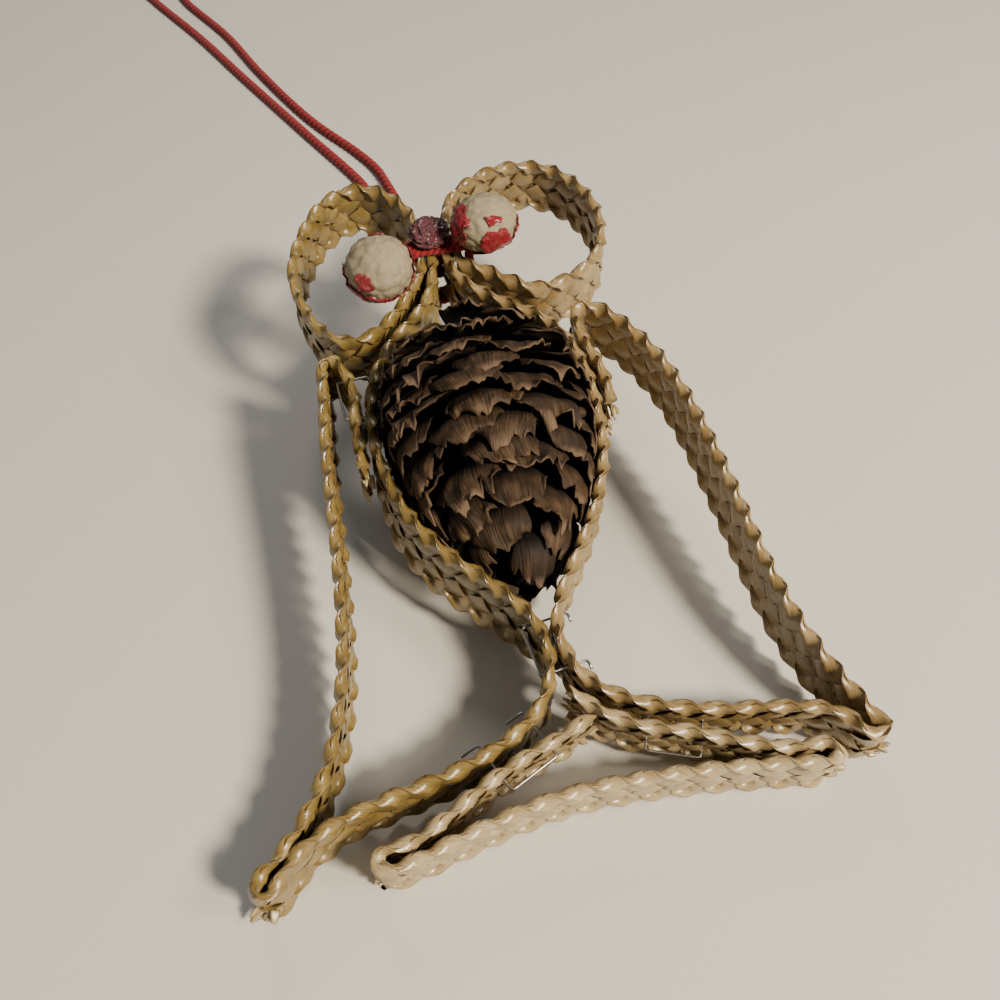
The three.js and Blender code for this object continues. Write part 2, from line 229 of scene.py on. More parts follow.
# ---- table and light ----
# A pale matt laminate top. The light is a window in front on the right, a lamp behind it and a pale
# ceiling behind the head that shows in the gloss of the straw.
bpy.ops.mesh.primitive_plane_add(size=6, location=(0, 0, 0))
table = bpy.context.object
table.name = "table_top"
tree, shader, laminate = material_of("pale laminate, matt")
speckle = add(tree, "ShaderNodeTexNoise", {"Scale": 18, "Detail": 4})
shade = add(tree, "ShaderNodeValToRGB", {"Fac": speckle.outputs["Fac"]})
shade.color_ramp.elements[0].color = linear("#d3d0c6")
shade.color_ramp.elements[1].color = linear("#dbd8ce")
tree.links.new(shade.outputs["Color"], shader.inputs["Base Color"])
shader.inputs["Roughness"].default_value = 0.55
table.data.materials.append(laminate)

world = bpy.data.worlds.new("daylight")
world.use_nodes = True
world.node_tree.nodes["Background"].inputs["Color"].default_value = linear("#e9ecf2")
world.node_tree.nodes["Background"].inputs["Strength"].default_value = 0.2
bpy.context.scene.world = world


def softbox(name, place, size, power, colour):
    """A round lamp that faces the middle of the figure."""
    lamp = bpy.data.objects.new(name, bpy.data.lights.new(name, "AREA"))
    lamp.data.shape = "DISK"
    lamp.data.size = size
    lamp.data.energy = power
    lamp.data.color = linear(colour)[:3]
    lamp.location = place
    lamp.rotation_euler = (-Vector(place)).to_track_quat("-Z", "Y").to_euler()
    bpy.context.scene.collection.objects.link(lamp)


softbox("window", (0.46, -0.61, 0.66), 0.17, 17, "#fff1dc")
softbox("lamp", (0.72, -0.42, 0.78), 0.22, 3.6, "#fff4e4")
softbox("ceiling", (0.02, 0.72, 0.78), 0.24, 1.8, "#fff8ee")


# ---- plaited bands ----
# Each band is five flattened wheat straws plaited flat and tight. A straw runs slantwise from edge to
# edge, over and under the others, and turns over the edge in a plump fold.
BAND = 12.5 * MM  # edge to edge
STITCH = 5.5 * MM  # from one fold to the next along an edge
STRAWS = 5
FOLD_GAP = 2.75
CLIMB = 9.4  # how high a straw would run if it did not turn at the edge
INSET = 0.62  # of a fold's middle from the edge of the band
STANDING = 0.42  # of a straw from the middle of the band where it lies over another
SHINGLE = 0.13  # radians that a straw is rolled, so that one rim stands proud
# Half the width and half the thickness of a straw where it lies flat, and where it is folded.
FLAT_STRAW = (2.28, 0.34)
FOLDED_STRAW = (1.22, 0.64)
INNER_HEIGHT = 4.9  # half of it, for the straw that lies inside
LEAN = math.radians(11.4)
# The figure's own plane, raised at the head, and the place of its origin on the table.
figure = Matrix.Translation((0.000516, -0.010096, 0.019012)) @ Matrix.Rotation(LEAN, 4, "X")


def fold(x, y, heading, side):
    """Three points round a sharp fold: side 1 turns left and side -1 turns right."""
    angles = [math.radians(heading + side * turn) for turn in (-90, 0, 90)]
    return [(x + FOLD_GAP / 2 * math.cos(a), y + FOLD_GAP / 2 * math.sin(a)) for a in angles]


# Where the upper edge of each band runs, in millimetres in the figure's plane, with the band's slant
# in degrees where it does not stand upright.
bands = {
    "left_loop": [
        (-2.4, 60.8), (-2.5, 68), (-4.6, 76), (-9.5, 81.7), (-16, 83.3), (-22.5, 79.5), (-28, 71),
        (-31, 61.5), (-30.2, 53), (-27.2, 44.8), (-22.5, 40.6), (-17, 41.2), (-11.5, 45.8), (-7.2, 51),
        (-3.9, 56.4), (-3.65, 60.3),
    ],
    "right_loop": [
        (3.4, 60.8), (3.6, 67.5), (5.6, 74), (10.5, 79), (17, 82), (24, 82.3), (30.3, 79.7),
        (34.8, 74.5), (37.3, 67.5), (37.2, 60.5), (34.8, 53.5), (30.5, 49), (25, 46.4), (19.5, 45.7),
        (14.5, 48.6), (9.4, 53), (5, 56.6), (4.65, 60.3),
    ],
    "left_side_plait": [
        (-0.9, 60.3), (-1.9, 54), (-4.6, 47.6), (-8.6, 42.8), (-13.4, 38.3), (-17.9, 31.5),
        (-20.5, 24), (-21.3, 16.5), (-20.3, 8, 5), (-17.8, -2, 10), (-12.5, -11.5, 12),
        (-5.5, -19.8, 12), (-1, -26.4, 8), (0.5, -32), (-0.2, -38), (-4, -43.6), (-11.5, -48),
        (-21, -50.7), (-30.5, -52.2), (-39, -54), (-46, -57.6),
        *fold(-51.5, -61.2, 213, -1),
        (-48.2, -56.6), (-43.8, -52), (-39.6, -45.5), (-36.4, -37.5), (-34.2, -28.5), (-32.8, -18),
        (-31.9, -7), (-31.2, 5), (-30.4, 17), (-29.2, 28),
        *fold(-26.7, 35.6, 78, -1),
        (-23.9, 31.5), (-23.2, 26.5), (-23.9, 21.5), (-24.2, 16), (-24.3, 9.8),
    ],
    "right_side_plait": [
        (1.9, 60.3), (3.2, 53.5), (6.5, 48.4), (12.3, 42.8), (18.4, 37.3), (21.9, 30), (23.2, 21.5),
        (22.8, 12), (20.9, 2), (16.7, -7.6), (11.2, -16), (6.2, -23), (3.5, -28.6), (3.4, -34),
        (5.2, -39.3), (9.8, -44), (16.6, -47.5), (26, -50.4), (36, -52.4), (44.5, -55.2),
        *fold(49.9, -59.2, -32, 1),
        (49, -54), (46.2, -46), (44, -37), (43, -27), (42.6, -16), (42.1, -4), (41.2, 8),
        (39.3, 19.5), (36, 28.5), (31.6, 35.6), (28.6, 38.2), (25.8, 38), (24.6, 35), (24.9, 29.5),
        (26.1, 23.5), (26.4, 18.5), (25.8, 13.6),
    ],
    "tail_plait": [
        (2.6, -42), (6.6, -46.3), (12.2, -50), (20, -53), (27.5, -56.4), (34.5, -59),
        *fold(41, -61.4, -12, -1),
        (35, -61.8), (27, -60.4), (18, -59.2), (8, -58.3), (-2, -58.1), (-12, -59.2), (-21, -60.9),
        (-27.5, -62.3),
        *fold(-32.6, -61.4, 188, -1),
        (-27.5, -59.5), (-21, -56.6), (-14, -53.2), (-6.5, -50.4), (-1, -48.8), (4, -46.9),
    ],
}


# At its crossings with the other straws a straw lies over, under, over, under, and it goes from under
# to over as it turns at an edge.
WEAVE = [0, 1, -1, 1, -1, 0, 1, -1, 1, -1, 0]


def plaited(name, route):
    """Points, faces and surface coordinates of the five straws of a band."""
    spread = [(*point[:2], 0.0) for point in route]
    slants = np.radians([point[2] if len(point) > 2 else 0.0 for point in route])
    curve, places = smooth_route(spread)
    run = np.concatenate([[0], np.cumsum(np.linalg.norm(np.diff(curve, axis=0), axis=1))])
    tilt = np.interp(places, np.arange(len(route)), slants)
    step = 0.5
    along_band = np.linspace(0, run[-1], int(run[-1] / step) + 1)
    middle = np.column_stack([np.interp(along_band, run, curve[:, axis]) for axis in (0, 1)])
    tilts = np.tan(np.interp(along_band, run, tilt))
    ahead = np.gradient(middle, axis=0)
    ahead /= np.linalg.norm(ahead, axis=1)[:, None]
    outwards = np.column_stack([ahead[:, 1], -ahead[:, 0]])
    half = BAND / MM / 2
    stitch = STITCH / MM
    around = 12
    points, faces, along, across = [], [], [], []
    for straw in range(STRAWS):
        seed = straw * 17.3 + len(name) * 5.1
        local = []
        for distance in along_band:
            place = (distance / (stitch * STRAWS) + straw / STRAWS) % 1.0
            crossing = place * 2 * STRAWS
            low = int(crossing)
            ease = (1 - math.cos(math.pi * (crossing - low))) / 2
            over = WEAVE[low] * (1 - ease) + WEAVE[low + 1] * ease
            climb = (1 - 4 * abs(place - 0.5)) * CLIMB
            height = climb / (1 + abs(climb / (half - INSET)) ** 6) ** (1 / 6)
            jitter = noise.noise(Vector((distance / 4, seed, 0)))
            height *= 1 + 0.02 * jitter
            local.append((distance, height, STANDING * over + 0.08 * jitter, crossing))
        local = np.array(local)
        heading = np.gradient(local[:, :3], axis=0)
        heading /= np.linalg.norm(heading, axis=1)[:, None]
        strides = np.linalg.norm(np.diff(local[:, :3], axis=0), axis=1)
        travelled = np.concatenate([[0], np.cumsum(strides)])
        first = len(points)
        for i, (_, height, out, crossing) in enumerate(local):
            from_fold = min(abs(crossing - 5), abs(crossing), abs(crossing - 10))
            folded = max(0.0, 1 - from_fold / 1.05)
            folded = folded * folded * (3 - 2 * folded)
            nearest = 5 if abs(crossing - 5) < 2.5 else (10 if crossing > 7.5 else 0)
            turn = math.pi / 2 * (1 + max(-1.0, min(1.0, (crossing - nearest) / 0.9)))
            turn += SHINGLE * (1 - folded)
            flat = np.array((-heading[i, 1], heading[i, 0], 0.0))
            flat /= np.linalg.norm(flat)
            thick = np.cross(heading[i], flat)
            uneven = noise.noise(Vector((travelled[i] / 6, seed + 4, 2)))
            wide = (FLAT_STRAW[0] + 0.14 * uneven) * (1 - folded) + FOLDED_STRAW[0] * folded
            deep = (FLAT_STRAW[1] + 0.05 * uneven) * (1 - folded) + FOLDED_STRAW[1] * folded
            for k in range(around):
                angle = 2 * math.pi * k / around
                c, s = math.cos(angle), math.sin(angle)
                a = wide * c
                b = deep * math.copysign(abs(s) ** (1.15 - 0.25 * folded), s)
                lateral = math.cos(turn) * a - math.sin(turn) * b
                proud = math.sin(turn) * a + math.cos(turn) * b
                offset = flat * lateral + thick * proud
                up = height + offset[1]
                stand = out + offset[2] + (half - up) * tilts[i]
                shift = offset[0]
                x = middle[i, 0] + ahead[i, 0] * shift + outwards[i, 0] * stand
                y = middle[i, 1] + ahead[i, 1] * shift + outwards[i, 1] * stand
                points.append(figure @ Vector((x * MM, y * MM, up * MM)))
                along.append((travelled[i] + seed * 31, c * wide))
                across.append((abs(c), folded))
        faces.extend(tube_faces(len(local), around, first))
    # A thin sheet inside the plait, so that no gap lets light through, coloured as the darkest rim of a
    # straw: painted shade.
    first = len(points)
    for i, distance in enumerate(along_band):
        for out, side in ((0.12, 1), (0.12, -1), (-0.12, -1), (-0.12, 1)):
            up = side * INNER_HEIGHT
            stand = out + (half - up) * tilts[i]
            x = middle[i, 0] + outwards[i, 0] * stand
            y = middle[i, 1] + outwards[i, 1] * stand
            points.append(figure @ Vector((x * MM, y * MM, up * MM)))
            along.append((distance, up))
            # The value of a straw's rim, so the sheet takes the darkest rim brown: painted shade.
            across.append((1, 0))
    faces.extend(tube_faces(len(along_band), 4, first))
    points = [Vector((point.x, point.y, max(point.z, 0.03 * MM))) for point in points]
    return points, faces, along, across


def flattened_straw(name, deep, middle, bright, seed):
    """Wheat straw, soaked and pressed flat: satin, waxy, with fine grooves along it and patches of
    paler and darker tone; darker brown along its rims, partly the straw's own browner rims and partly
    painted shade of the slits between straws."""
    tree, shader, material = material_of(name)
    places = add(tree, "ShaderNodeUVMap", {}, uv_map="along").outputs["UV"]
    rims = add(tree, "ShaderNodeUVMap", {}, uv_map="across").outputs["UV"]
    # Grooves about 0.25 mm apart and several millimetres long.
    stretched = add(tree, "ShaderNodeMapping", {"Vector": places, "Scale": (0.35, 4, 1),
                                                "Location": (seed, 0, 0)})
    grooves = add(tree, "ShaderNodeTexNoise", {"Vector": stretched.outputs["Vector"], "Scale": 1,
                                               "Detail": 5})
    # Each straw changes tone over a centimetre or so.
    slow = add(tree, "ShaderNodeMapping", {"Vector": places, "Scale": (0.16, 0.15, 1),
                                           "Location": (seed, 3, 0)})
    patches = add(tree, "ShaderNodeTexNoise", {"Vector": slow.outputs["Vector"], "Scale": 1,
                                               "Detail": 3})
    tone = add(tree, "ShaderNodeMix", {"Factor": 0.45, 2: patches.outputs["Fac"],
                                       3: grooves.outputs["Fac"]})
    straw = add(tree, "ShaderNodeValToRGB", {"Fac": tone.outputs[0]})
    straw.color_ramp.elements[0].position = 0.3
    straw.color_ramp.elements[0].color = linear(deep)
    straw.color_ramp.elements[1].position = 0.7
    straw.color_ramp.elements[1].color = linear(bright)
    straw.color_ramp.elements.new(0.5).color = linear(middle)
    # Painted shade: darker brown along each straw's rims, partly the straw's own browner rims and
    # partly shade in the slits between straws.
    edge = add(tree, "ShaderNodeSeparateXYZ", {"Vector": rims})
    rim_brown_and_slit_shade = add(tree, "ShaderNodeMapRange", {"Value": edge.outputs["X"], "From Min": 0.86,
                                               "From Max": 1.0, "To Min": 0.0, "To Max": 0.55})
    colour = add(tree, "ShaderNodeMix", {"Factor": rim_brown_and_slit_shade.outputs["Result"],
                                         6: straw.outputs["Color"], 7: linear("#5f4420")},
                 data_type="RGBA")
    bump = add(tree, "ShaderNodeBump", {"Height": grooves.outputs["Fac"], "Strength": 0.35,
                                        "Distance": 0.0002})
    gloss = add(tree, "ShaderNodeMapRange", {"Value": patches.outputs["Fac"], "From Min": 0.3,
                                             "From Max": 0.7, "To Min": 0.24, "To Max": 0.36})
    tree.links.new(colour.outputs[2], shader.inputs["Base Color"])
    tree.links.new(bump.outputs["Normal"], shader.inputs["Normal"])
    tree.links.new(gloss.outputs["Result"], shader.inputs["Roughness"])
    shader.inputs["IOR"].default_value = 1.5
    shader.inputs["Specular IOR Level"].default_value = 0.9
    return material


golden = flattened_straw("golden wheat straw, pressed", "#5a461c", "#816b38", "#ab955e", 0)
warm = flattened_straw("warm wheat straw, pressed", "#67502a", "#8f7749", "#b8a277", 40)
pale = flattened_straw("pale wheat straw, pressed", "#78643a", "#a89267", "#cdbd98", 80)
straw_of = {
    "left_loop": golden, "right_loop": warm, "left_side_plait": golden, "right_side_plait": warm,
    "tail_plait": pale,
}
for name, route in bands.items():
    points, faces, along, across = plaited(name, route)
    band = mesh_piece(name + "_straws", points, faces, straw_of[name], along, across)
    band.data.set_sharp_from_angle(angle=math.radians(42))
    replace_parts(band, name)


# ---- staples ----
# Four bright steel office staples. Each lies with its crown against one band; its legs go through that
# band and the next, and their ends are bent over.
CROWN = 9.4
WIRE = 0.5 * MM
CORNER = 0.7
# The crown's middle, its heading in degrees, the side that the legs point to, how far they reach and
# how long their bent ends are.
staples = {
    "staple_left_leg": (-26.1, 27.6, 3.2, 92, -1, 6.4, -1.6),
    "staple_junction": (-2.2, -32.8, 3.6, 97, -1, 8.6, -1.8),
    "staple_left_wing": (-6.6, -52.9, 2.4, 24, 1, 9.4, -3.4),
    "staple_right_wing": (17.2, -54.3, -1.2, -21, 1, 9, -1.8),
}


def staple_line(x, y, up, heading, side, reach, hook):
    """The middle of the wire, with a small bend at each corner."""
    angle = math.radians(heading)
    along = Vector((math.cos(angle), math.sin(angle), 0))
    inwards = side * Vector((-math.sin(angle), math.cos(angle), 0))
    arm = CROWN / 2
    corners = [(-arm + hook, reach), (-arm, reach), (-arm, 0),
               (arm, 0), (arm, reach), (arm + hook, reach)]
    places = [Vector((x, y, up)) + along * run + inwards * deep for run, deep in corners]
    line = [places[0]]
    for before, at, after in zip(places, places[1:], places[2:]):
        start = at + (before - at).normalized() * CORNER
        end = at + (after - at).normalized() * CORNER
        for i in range(7):
            w = i / 6
            line.append((1 - w) ** 2 * start + 2 * w * (1 - w) * at + w * w * end)
    line.append(places[-1])
    return np.array([figure @ (MM * place) for place in line])


def round_tube(path, radii, around=10):
    """A capped round tube along a path, with its own radius at each point."""
    path = np.array(path)
    _, sides, ups = upright_frames(path)
    angles = [2 * math.pi * k / around for k in range(around)]
    points = [
        centre + radius * (math.cos(a) * side + math.sin(a) * up)
        for centre, radius, side, up in zip(path, radii, sides, ups) for a in angles
    ]
    return points, tube_faces(len(path), around)


# Drawn and galvanised wire: bright, with a grey bloom much finer than the wire.
tree, shader, wire = material_of("galvanised steel wire, drawn")
bloom = add(tree, "ShaderNodeTexNoise", {"Scale": 900, "Detail": 3})
grey = add(tree, "ShaderNodeValToRGB", {"Fac": bloom.outputs["Fac"]})
grey.color_ramp.elements[0].position = 0.35
grey.color_ramp.elements[0].color = linear("#8e8c88")
grey.color_ramp.elements[1].position = 0.65
grey.color_ramp.elements[1].color = linear("#c4c2bd")
dull = add(tree, "ShaderNodeMapRange", {"Value": bloom.outputs["Fac"], "To Min": 0.22, "To Max": 0.42})
tree.links.new(grey.outputs["Color"], shader.inputs["Base Color"])
tree.links.new(dull.outputs["Result"], shader.inputs["Roughness"])
shader.inputs["Metallic"].default_value = 1
for name, facts in staples.items():
    line = staple_line(*facts)
    points, faces = round_tube(line, [WIRE / 2] * len(line))
    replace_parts(mesh_piece(name + "_wire", points, faces, wire), name)


# ---- yarn binding ----
# The same red yarn wound round the six plait ends and drawn tight, its turns side by side. Fine wool
# hairs stand off it.
NECK = (0.5, 60.0)
INSIDE = (12.0, 13.7)
BINDING = 1.55
TURNS = 4
TURN_PITCH = 1.35
CORNER_RADIUS = 0.8
STEPS_ROUND = 60
HAIRS = 46


def hoop_point(share):
    """A point once round the rounded rectangle that the yarn follows, from 0 to 1."""
    out = CORNER_RADIUS + BINDING / 2
    wide = INSIDE[0] / 2 - CORNER_RADIUS
    tall = INSIDE[1] / 2 - CORNER_RADIUS
    quarter = math.pi / 2 * out
    legs = [2 * tall, quarter, 2 * wide, quarter, 2 * tall, quarter, 2 * wide, quarter]
    starts = [(wide + out, -tall), (wide, tall), (wide, tall + out), (-wide, tall), (-wide - out, tall),
              (-wide, -tall), (-wide, -tall - out), (wide, -tall)]
    left = share % 1.0 * sum(legs)
    for i, leg in enumerate(legs):
        if left > leg:
            left -= leg
            continue
        heading = math.pi / 2 * (i // 2)
        if i % 2:
            angle = heading + left / out
            return starts[i][0] + out * math.cos(angle), starts[i][1] + out * math.sin(angle)
        return (starts[i][0] - left * math.sin(heading), starts[i][1] + left * math.cos(heading))
    return starts[0]


turns = []
for i in range(TURNS * STEPS_ROUND + 1):
    share = i / STEPS_ROUND
    across_neck, up = hoop_point(share + 0.62)
    lie = NECK[1] - 2.05 + TURN_PITCH * min(share, 3.999) / TURNS * 3.05
    wander = 0.16 * noise.noise(Vector((share * 5, 1.5, 0)))
    turns.append(figure @ (MM * Vector((NECK[0] + across_neck, lie + wander, up))))
points, faces, along, across = two_ply(np.array(turns), BINDING * MM, 2.9 * MM)
binding = mesh_piece("yarn_turns", points, faces, red_yarn, along, across)
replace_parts(binding, "yarn_binding")

draw = random.Random(7)
points, faces = [], []
for i in range(HAIRS):
    across_neck, up = hoop_point(draw.uniform(0.15, 0.72))
    root = Vector((NECK[0] + across_neck, NECK[1] + draw.uniform(-2.6, 2.4), up))
    out = Vector((across_neck, draw.uniform(-5, 2), up + 2)).normalized()
    bend = Vector((draw.uniform(-1, 1), draw.uniform(-1, 1), draw.uniform(-1, 1)))
    reach = draw.uniform(0.8, 2.6)
    line = [figure @ (MM * (root + out * reach * w + bend * 0.8 * w * w)) for w in np.linspace(0, 1, 6)]
    hair, hair_faces = round_tube(line, [0.055 * MM] * 6, around=4)
    faces.extend(tuple(len(points) + k for k in face) for face in hair_faces)
    points.extend(hair)
along, across = [(0, 0)] * len(points), [(0.6, 0)] * len(points)
mesh_piece("yarn_hairs", points, faces, red_yarn, along, across)


# ---- spruce cone ----
# A small dry cone, its thin papery scales set in spirals round a woody core. Weather has crumpled and
# chipped their lips, and the two side plaits press them in from both sides.
CONE_X = 1.0
STEM_END = 43.0
CONE_LENGTH = 66.0
CONE_RADIUS = 24.1
SCALES = 104
SCALE_LENGTH = 13.5
SCALE_HALF_WIDTH = 7.2
SCALE_GRID = (17, 23)
GOLDEN_ANGLE = math.pi * (3 - math.sqrt(5))
draw = random.Random(11)


def cone_radius(t):
    """How far the lips of the scales stand from the middle, t of the way from the stem to the tip."""
    return CONE_RADIUS * math.sin(math.pi * min(max(t, 0.0), 1.0) ** 0.85) ** 0.65


def band_reach(name):
    """Where a side plait runs beside the cone: its places across, for places along from low to high."""
    curve = smooth_route([(*point[:2], 0.0) for point in bands[name]])[0]
    lowest = np.argmax(curve[:, 1] < STEM_END - CONE_LENGTH - 12)
    return curve[:lowest, 1][::-1], curve[:lowest, 0][::-1]


left_reach = band_reach("left_side_plait")
right_reach = band_reach("right_side_plait")


def pressed(x, y, z):
    """A point of the cone, pressed in between the two side plaits and against the table."""
    room = 1.1 + 0.35
    low = np.interp(y, *left_reach) + room
    high = np.interp(y, *right_reach) - room
    middle = (low + high) / 2
    half = max((high - low) / 2, 0.5)
    share = (x - middle) / half
    place = figure @ (MM * Vector((middle + half * share / (1 + abs(share) ** 12) ** (1 / 12), y, z)))
    place.z = max(place.z, 0.25 * MM)
    return place


def cone_scale(t, angle, size, seed):
    """One scale: a fan from the core that bends to lie along the cone, with an uneven lip."""
    rows, columns = SCALE_GRID
    length = SCALE_LENGTH * size
    half_width = SCALE_HALF_WIDTH * size * draw.uniform(0.9, 1.12)
    flare = draw.uniform(-0.8, 2.4)
    lift = draw.uniform(-1.4, 0.9)
    roll = draw.uniform(-0.22, 0.22)
    chipped = draw.uniform(0.05, 0.2)
    crumple = draw.uniform(0.7, 2.0)
    start = t - length / CONE_LENGTH
    points, along, across = [], [], []
    for j in range(rows):
        v = j / (rows - 1)
        for i in range(columns):
            u = 2 * i / (columns - 1) - 1
            lip = 1 - 0.3 * abs(u) ** 2.6
            lip += chipped * noise.noise(Vector((u * 4.5, seed, 0))) * 1.2
            lip += 0.5 * chipped * noise.noise(Vector((u * 13, seed, 4)))
            w = v * lip
            fan = half_width * (0.28 + 0.72 * math.sin(math.pi / 2 * min(w * 1.25, 1.0)))
            run = start * CONE_LENGTH + length * w
            shell = cone_radius(min(run / CONE_LENGTH + 0.02, 0.97))
            rise = 0.3 + 0.7 * math.sin(math.pi / 2 * min(w, 1.0)) ** 0.85
            out = max(shell, 3.2) * rise + lift * w
            out -= 1.3 * size * u * u * w
            edge = max(0.0, (v - 0.72) / 0.28)
            out += flare * edge * edge * (0.6 + 0.8 * noise.noise(Vector((u * 2.2, seed, 8))))
            out += crumple * w * noise.noise(Vector((u * fan / 3.0, w * length / 3.4, seed * 1.7)))
            ruffle = Vector((u * fan / 1.5, w * length / 2.2, seed * 3.1))
            out += 1.1 * edge * crumple * noise.noise(ruffle)
            tatter = Vector((u * fan / 2.2, w * length / 2.6, seed * 2.3))
            run += crumple * 1.2 * edge * noise.noise(tatter)
            turn = angle + (u * fan / max(out, 5.0)) + roll * w
            points.append(
                pressed(CONE_X - out * math.sin(turn), STEM_END - run, out * math.cos(turn)))
            along.append((u * half_width * (0.5 + 0.5 * w) + seed * 37, w * length))
            across.append((w, seed * 0.137 % 1.0))
    faces = []
    for j in range(rows - 1):
        for i in range(columns - 1):
            k = j * columns + i
            faces.append((k, k + 1, k + 1 + columns, k + columns))
    return points, faces, along, across


# Dry cone scale: matt, fibrous brown, with fine ribs out to a paler, dusty lip, and near black towards
# the root: painted shade of the gaps between the scales.
tree, shader, scale_skin = material_of("spruce cone scale, weathered")
places = add(tree, "ShaderNodeUVMap", {}, uv_map="along").outputs["UV"]
parts = add(tree, "ShaderNodeUVMap", {}, uv_map="across").outputs["UV"]
split = add(tree, "ShaderNodeSeparateXYZ", {"Vector": parts})
# Ribs about 0.35 mm apart.
ribbed = add(tree, "ShaderNodeMapping", {"Vector": places, "Scale": (2.9, 0.16, 1)})
ribs = add(tree, "ShaderNodeTexNoise", {"Vector": ribbed.outputs["Vector"], "Scale": 1, "Detail": 4})
blotched = add(tree, "ShaderNodeMapping", {"Vector": places, "Scale": (0.3, 0.3, 1)})
blotches = add(tree, "ShaderNodeTexNoise", {"Vector": blotched.outputs["Vector"], "Scale": 1,
                                            "Detail": 5})
mottle = add(tree, "ShaderNodeMix", {"Factor": 0.55, 2: ribs.outputs["Fac"],
                                     3: blotches.outputs["Fac"]})
brown = add(tree, "ShaderNodeValToRGB", {"Fac": mottle.outputs[0]})
brown.color_ramp.elements[0].position = 0.32
brown.color_ramp.elements[0].color = linear("#1a1008")
brown.color_ramp.elements[1].position = 0.68
brown.color_ramp.elements[1].color = linear("#57432c")
brown.color_ramp.elements.new(0.5).color = linear("#362615")
own = add(tree, "ShaderNodeMapRange", {"Value": split.outputs["Y"], "To Min": 0.7, "To Max": 1.25})
toned = add(tree, "ShaderNodeMix", {"Factor": 1.0, 6: brown.outputs["Color"], 7: own.outputs["Result"]},
            data_type="RGBA", blend_type="MULTIPLY")
# Painted shade: each scale turns near black towards its root, where it lies in the gaps under the
# others.
root = add(tree, "ShaderNodeMapRange", {"Value": split.outputs["X"], "From Min": 0.35,
                                        "From Max": 0.75})
shaded = add(tree, "ShaderNodeMix", {"Factor": root.outputs["Result"], 6: linear("#0d0703"),
                                     7: toned.outputs[2]}, data_type="RGBA")
rim = add(tree, "ShaderNodeMapRange", {"Value": split.outputs["X"], "From Min": 0.9, "From Max": 1.02,
                                       "To Max": 0.7})
dusty = add(tree, "ShaderNodeMix", {"Factor": rim.outputs["Result"], 6: shaded.outputs[2],
                                    7: linear("#76604a")}, data_type="RGBA")
relief = add(tree, "ShaderNodeBump", {"Height": ribs.outputs["Fac"], "Strength": 0.8,
                                      "Distance": 0.0004})
tree.links.new(dusty.outputs[2], shader.inputs["Base Color"])
tree.links.new(relief.outputs["Normal"], shader.inputs["Normal"])
shader.inputs["Roughness"].default_value = 0.72
shader.inputs["Specular IOR Level"].default_value = 0.35

# Scales are spread so that each has an equal share of the cone's skin.
lengthwise = np.linspace(0.0, 1.0, 400)
skin_share = np.cumsum([max(cone_radius(t), 5.0) for t in lengthwise])
skin_share /= skin_share[-1]
points, faces, along, across = [], [], [], []
for i in range(SCALES):
    t = float(np.interp((i + 0.5) / SCALES, skin_share, lengthwise))
    size = 0.62 + 0.38 * math.sin(math.pi * t) ** 0.5
    patch = cone_scale(0.135 + 0.865 * t, i * GOLDEN_ANGLE, size, i + 0.5)
    faces.extend(tuple(len(points) + k for k in face) for face in patch[1])
    points.extend(patch[0])
    along.extend(patch[2])
    across.extend(patch[3])
scales = mesh_piece("cone_scales", points, faces, scale_skin, along, across)
thickness = scales.modifiers.new("paper_thickness", "SOLIDIFY")
thickness.thickness = 0.3 * MM
thickness.offset = 0

# The woody core, rough; its surface coordinates put it in the scales' painted root shade, so it is near
# black between the scales.
rings, around = 30, 20
points, along, across = [], [], []
for j in range(rings):
    t = j / (rings - 1)
    for k in range(around):
        angle = 2 * math.pi * k / around
        uneven = 1 + 0.25 * noise.noise(Vector((math.cos(angle) * 2, math.sin(angle) * 2, t * 14)))
        out = max(cone_radius(t * 0.98 + 0.01) * 0.4, 2.2) * uneven
        run = STEM_END + 2 - t * (CONE_LENGTH - 3)
        points.append(pressed(CONE_X - out * math.sin(angle), run, out * math.cos(angle)))
        along.append((k * 2.0, t * CONE_LENGTH))
        # Deep in the painted root shade of the scale material.
        across.append((0.45, 0.3))
mesh_piece("cone_core", points, tube_faces(rings, around), scale_skin, along, across)
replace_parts(scales, "spruce_cone")


# ---- glue bead ----
# Hot glue pressed over the neck, where it set in a crumpled maroon lump. It holds the binding and the
# two berries.
GLUE = (-0.9, 62.2)
GLUE_SIZE = (9.4, 9.2, 4.4)
GLUE_FOOT = INSIDE[1] / 2 + 1.5


def ball(divisions):
    """Points and faces of a ball of radius 1, of even triangles."""
    mesh = bpy.data.meshes.new("ball")
    shape = bmesh.new()
    bmesh.ops.create_icosphere(shape, subdivisions=divisions, radius=1)
    shape.to_mesh(mesh)
    shape.free()
    points = [vertex.co.copy() for vertex in mesh.vertices]
    faces = [tuple(polygon.vertices) for polygon in mesh.polygons]
    bpy.data.meshes.remove(mesh)
    return points, faces


# Set hot glue, stained by the film: glossy as if wet, with fine pale clots.
tree, shader, dried_glue = material_of("dried glue, maroon")
clots = add(tree, "ShaderNodeTexNoise", {"Scale": 650, "Detail": 6})
maroon = add(tree, "ShaderNodeValToRGB", {"Fac": clots.outputs["Fac"]})
maroon.color_ramp.elements[0].position = 0.36
maroon.color_ramp.elements[0].color = linear("#2c0c12")
maroon.color_ramp.elements[1].position = 0.68
maroon.color_ramp.elements[1].color = linear("#a0757a")
maroon.color_ramp.elements.new(0.52).color = linear("#5e1c26")
wrinkle = add(tree, "ShaderNodeBump", {"Height": clots.outputs["Fac"], "Strength": 0.6,
                                       "Distance": 0.0006})
tree.links.new(maroon.outputs["Color"], shader.inputs["Base Color"])
tree.links.new(wrinkle.outputs["Normal"], shader.inputs["Normal"])
shader.inputs["Roughness"].default_value = 0.22
shader.inputs["Coat Weight"].default_value = 0.5
shader.inputs["Coat Roughness"].default_value = 0.1

